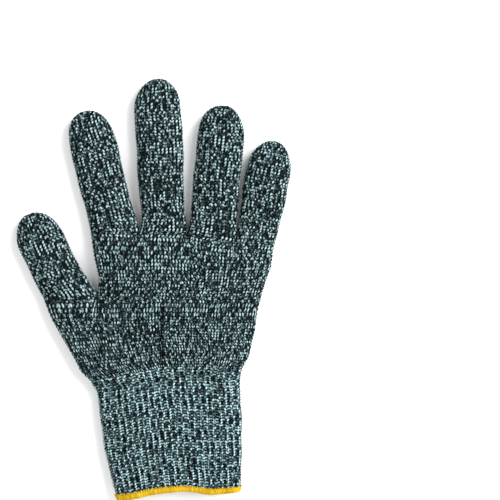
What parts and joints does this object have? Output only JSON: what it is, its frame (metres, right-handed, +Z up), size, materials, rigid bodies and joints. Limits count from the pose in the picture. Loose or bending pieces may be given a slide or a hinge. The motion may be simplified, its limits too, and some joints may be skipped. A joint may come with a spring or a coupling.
{
  "type": "cut resistant glove",
  "caption": "Seamless knitted cut resistant glove for carving, lying flat, with jointed fingers and thumb, a ribbed elastic cuff and an overlocked hem.",
  "frame": {"origin": "under the middle of the glove's outline, on the surface it lies on", "axes": "+Y from the cuff to the fingertips, +X towards the little finger, +Z up out of the palm"},
  "size_m": [0.1571, 0.2409, 0.014],
  "materials": {
    "glove_knit": "matte",
    "cuff_knit": "matte",
    "hem_thread": "satin",
    "elastic_thread": "satin"
  },
  "bodies": {
    "palm": {"upper_palm": "glove_knit", "lower_palm": "glove_knit"},
    "index_finger_base": {"index_finger_base": "glove_knit"},
    "index_finger_middle": {"index_finger_middle": "glove_knit"},
    "index_finger_tip": {"index_finger_tip": "glove_knit"},
    "middle_finger_base": {"middle_finger_base": "glove_knit"},
    "middle_finger_middle": {"middle_finger_middle": "glove_knit"},
    "middle_finger_tip": {"middle_finger_tip": "glove_knit"},
    "ring_finger_base": {"ring_finger_base": "glove_knit"},
    "ring_finger_middle": {"ring_finger_middle": "glove_knit"},
    "ring_finger_tip": {"ring_finger_tip": "glove_knit"},
    "little_finger_base": {"little_finger_base": "glove_knit"},
    "little_finger_middle": {"little_finger_middle": "glove_knit"},
    "little_finger_tip": {"little_finger_tip": "glove_knit"},
    "thumb_base": {"thumb_base": "glove_knit"},
    "thumb_middle": {"thumb_middle": "glove_knit"},
    "thumb_tip": {"thumb_tip": "glove_knit"},
    "cuff": {"cuff_rib": "cuff_knit", "cuff_hem": "hem_thread", "cuff_elastic": "elastic_thread"}
  },
  "joints": [
    {"name": "index_finger_knuckle", "type": "hinge", "parent": "palm", "child": "index_finger_base", "pos_m": [-0.02209, 0.03624, 0.0055], "axis": [0.9707, 0.2402, 0], "range_deg": [0, 65]},
    {"name": "index_finger_middle_joint", "type": "hinge", "parent": "index_finger_base", "child": "index_finger_middle", "pos_m": [-0.02892, 0.06384, 0.0055], "axis": [0.9707, 0.2402, 0], "range_deg": [0, 80]},
    {"name": "index_finger_tip_joint", "type": "hinge", "parent": "index_finger_middle", "child": "index_finger_tip", "pos_m": [-0.03347, 0.08224, 0.0055], "axis": [0.9707, 0.2402, 0], "range_deg": [0, 50]},
    {"name": "middle_finger_knuckle", "type": "hinge", "parent": "palm", "child": "middle_finger_base", "pos_m": [0.00661, 0.03944, 0.0055], "axis": [0.9989, 0.0471, 0], "range_deg": [0, 65]},
    {"name": "middle_finger_middle_joint", "type": "hinge", "parent": "middle_finger_base", "child": "middle_finger_middle", "pos_m": [0.005, 0.0735, 0.0055], "axis": [0.9989, 0.0471, 0], "range_deg": [0, 80]},
    {"name": "middle_finger_tip_joint", "type": "hinge", "parent": "middle_finger_middle", "child": "middle_finger_tip", "pos_m": [0.00393, 0.09621, 0.0055], "axis": [0.9989, 0.0471, 0], "range_deg": [0, 50]},
    {"name": "ring_finger_knuckle", "type": "hinge", "parent": "palm", "child": "ring_finger_base", "pos_m": [0.03531, 0.03734, 0.0055], "axis": [0.9962, -0.0872, 0], "range_deg": [0, 65]},
    {"name": "ring_finger_middle_joint", "type": "hinge", "parent": "ring_finger_base", "child": "ring_finger_middle", "pos_m": [0.03782, 0.066, 0.0055], "axis": [0.9962, -0.0872, 0], "range_deg": [0, 80]},
    {"name": "ring_finger_tip_joint", "type": "hinge", "parent": "ring_finger_middle", "child": "ring_finger_tip", "pos_m": [0.03949, 0.08511, 0.0055], "axis": [0.9962, -0.0872, 0], "range_deg": [0, 50]},
    {"name": "little_finger_knuckle", "type": "hinge", "parent": "palm", "child": "little_finger_base", "pos_m": [0.06001, 0.02874, 0.0055], "axis": [0.9833, -0.1822, 0], "range_deg": [0, 65]},
    {"name": "little_finger_middle_joint", "type": "hinge", "parent": "little_finger_base", "child": "little_finger_middle", "pos_m": [0.06437, 0.05228, 0.0055], "axis": [0.9833, -0.1822, 0], "range_deg": [0, 80]},
    {"name": "little_finger_tip_joint", "type": "hinge", "parent": "little_finger_middle", "child": "little_finger_tip", "pos_m": [0.06728, 0.06797, 0.0055], "axis": [0.9833, -0.1822, 0], "range_deg": [0, 50]},
    {"name": "thumb_fold", "type": "hinge", "parent": "palm", "child": "thumb_base", "pos_m": [-0.03029, -0.03016, 0.007], "axis": [0, 1, 0], "range_deg": [0, 60]},
    {"name": "thumb_knuckle", "type": "hinge", "parent": "thumb_base", "child": "thumb_middle", "pos_m": [-0.04929, -0.00196, 0.0055], "axis": [0.9026, 0.4305, 0], "range_deg": [0, 70]},
    {"name": "thumb_tip_joint", "type": "hinge", "parent": "thumb_middle", "child": "thumb_tip", "pos_m": [-0.06005, 0.0206, 0.0055], "axis": [0.9026, 0.4305, 0], "range_deg": [0, 60]},
    {"name": "wrist", "type": "hinge", "parent": "palm", "child": "cuff", "pos_m": [0.00971, -0.05516, 0.00625], "axis": [-1, 0, 0], "range_deg": [-60, 60]}
  ],
  "couplings": [
    {"joint": "index_finger_tip_joint", "follows": "index_finger_middle_joint", "ratio": 0.625},
    {"joint": "middle_finger_tip_joint", "follows": "middle_finger_middle_joint", "ratio": 0.625},
    {"joint": "ring_finger_tip_joint", "follows": "ring_finger_middle_joint", "ratio": 0.625},
    {"joint": "little_finger_tip_joint", "follows": "little_finger_middle_joint", "ratio": 0.625}
  ]
}
